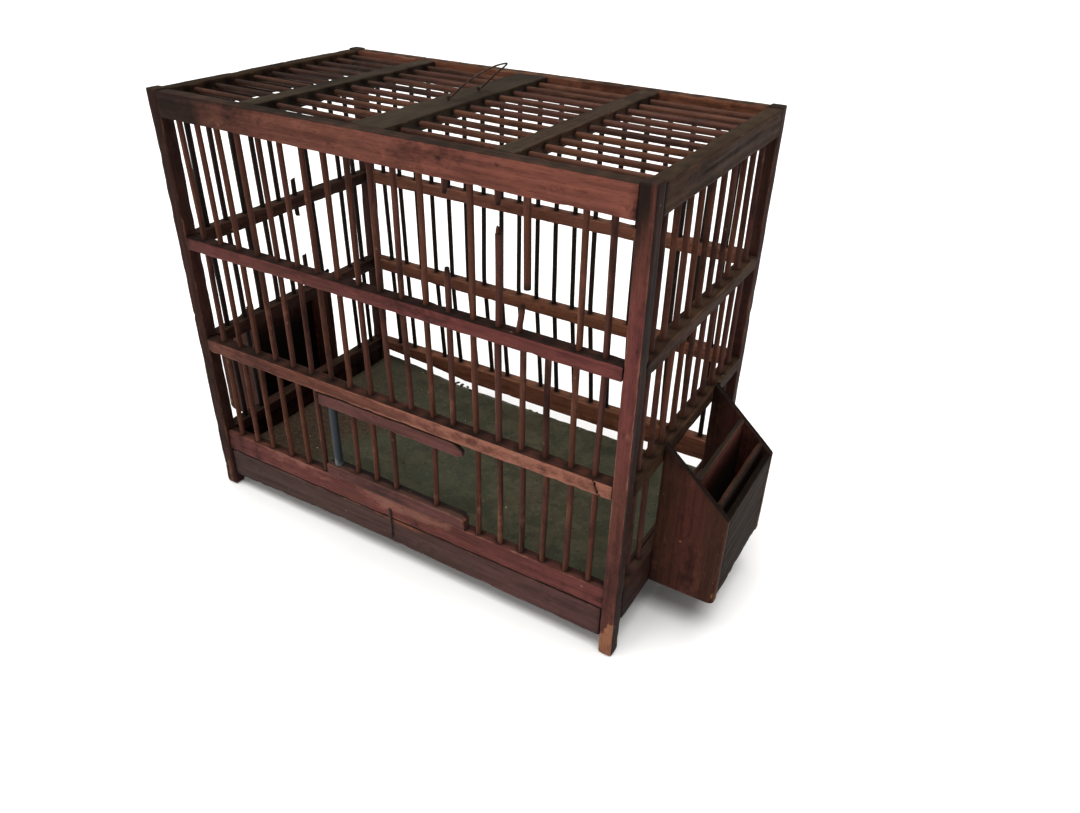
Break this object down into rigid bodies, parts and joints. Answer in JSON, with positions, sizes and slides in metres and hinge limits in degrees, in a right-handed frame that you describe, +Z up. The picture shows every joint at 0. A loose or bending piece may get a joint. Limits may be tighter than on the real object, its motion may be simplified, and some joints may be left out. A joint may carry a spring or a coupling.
{
  "type": "wooden bird cage",
  "caption": "Table-top wooden bird cage with round bars, a swing door, a slide-out floor tray, a wire handle on top and an open feeder box on each end.",
  "frame": {"origin": "middle of the footprint, on the surface the cage stands on", "axes": "+Z up, the front with its door faces -Y, +X is the right end seen from the front"},
  "size_m": [0.758, 0.34, 0.5603],
  "materials": {
    "red_wood": "worn red-brown stain",
    "grey_wood": "weathered grey-brown",
    "bar_wood": "worn red-brown stain",
    "tray_board": "dull olive grey with dried dirt",
    "grey_paint_wood": "old blue-grey paint",
    "iron_wire": "dark rusted wire",
    "feeder_wood": "worn red-brown stain"
  },
  "bodies": {
    "cage": {"post_front_left": "red_wood", "post_front_right": "red_wood", "post_back_left": "red_wood", "post_back_right": "red_wood", "top_rail_front": "red_wood", "top_rail_back": "red_wood", "top_rail_left": "red_wood", "top_rail_right": "red_wood", "upper_rail_front": "red_wood", "upper_rail_back": "red_wood", "upper_rail_left": "red_wood", "upper_rail_right": "red_wood", "lower_rail_front": "red_wood", "lower_rail_back": "red_wood", "lower_rail_left": "red_wood", "lower_rail_right": "red_wood", "bottom_rail_front": "red_wood", "bottom_rail_back": "red_wood", "bottom_board_left": "red_wood", "bottom_board_right": "red_wood", "top_crosspiece_left": "grey_wood", "top_crosspiece_middle": "grey_wood", "top_crosspiece_right": "grey_wood", "top_bars": "bar_wood", "front_bars_upper": "bar_wood", "front_bars_lower_left": "bar_wood", "front_bars_lower_right": "bar_wood", "back_bars": "bar_wood", "left_bars_upper": "bar_wood", "left_bars_lower": "bar_wood", "right_bars_upper": "bar_wood", "right_bars_lower": "bar_wood", "tray_runners": "red_wood", "handle_eyes": "iron_wire", "left_feeder_cheeks": "feeder_wood", "left_feeder_outer_board": "feeder_wood", "left_feeder_dividers": "feeder_wood", "left_feeder_floor": "feeder_wood", "right_feeder_cheeks": "feeder_wood", "right_feeder_outer_board": "feeder_wood", "right_feeder_dividers": "feeder_wood", "right_feeder_floor": "feeder_wood"},
    "door": {"door_top_rail": "red_wood", "door_bottom_rail": "red_wood", "door_bars": "bar_wood", "door_pivot_upright": "grey_paint_wood"},
    "tray": {"tray_front": "red_wood", "tray_floor": "tray_board", "tray_catch": "iron_wire"},
    "handle": {"handle_bail": "iron_wire"}
  },
  "joints": [
    {"name": "door_hinge", "type": "hinge", "parent": "cage", "child": "door", "pos_m": [-0.0867, -0.1615, 0.15], "axis": [0, 0, -1], "range_deg": [0, 110]},
    {"name": "tray_slide", "type": "slide", "parent": "cage", "child": "tray", "axis": [0, -1, 0], "range_m": [0, 0.3]},
    {"name": "handle_hinge", "type": "hinge", "parent": "cage", "child": "handle", "pos_m": [-0.006, 0.012, 0.5288], "axis": [0, 1, 0], "range_deg": [-139, 41]}
  ]
}
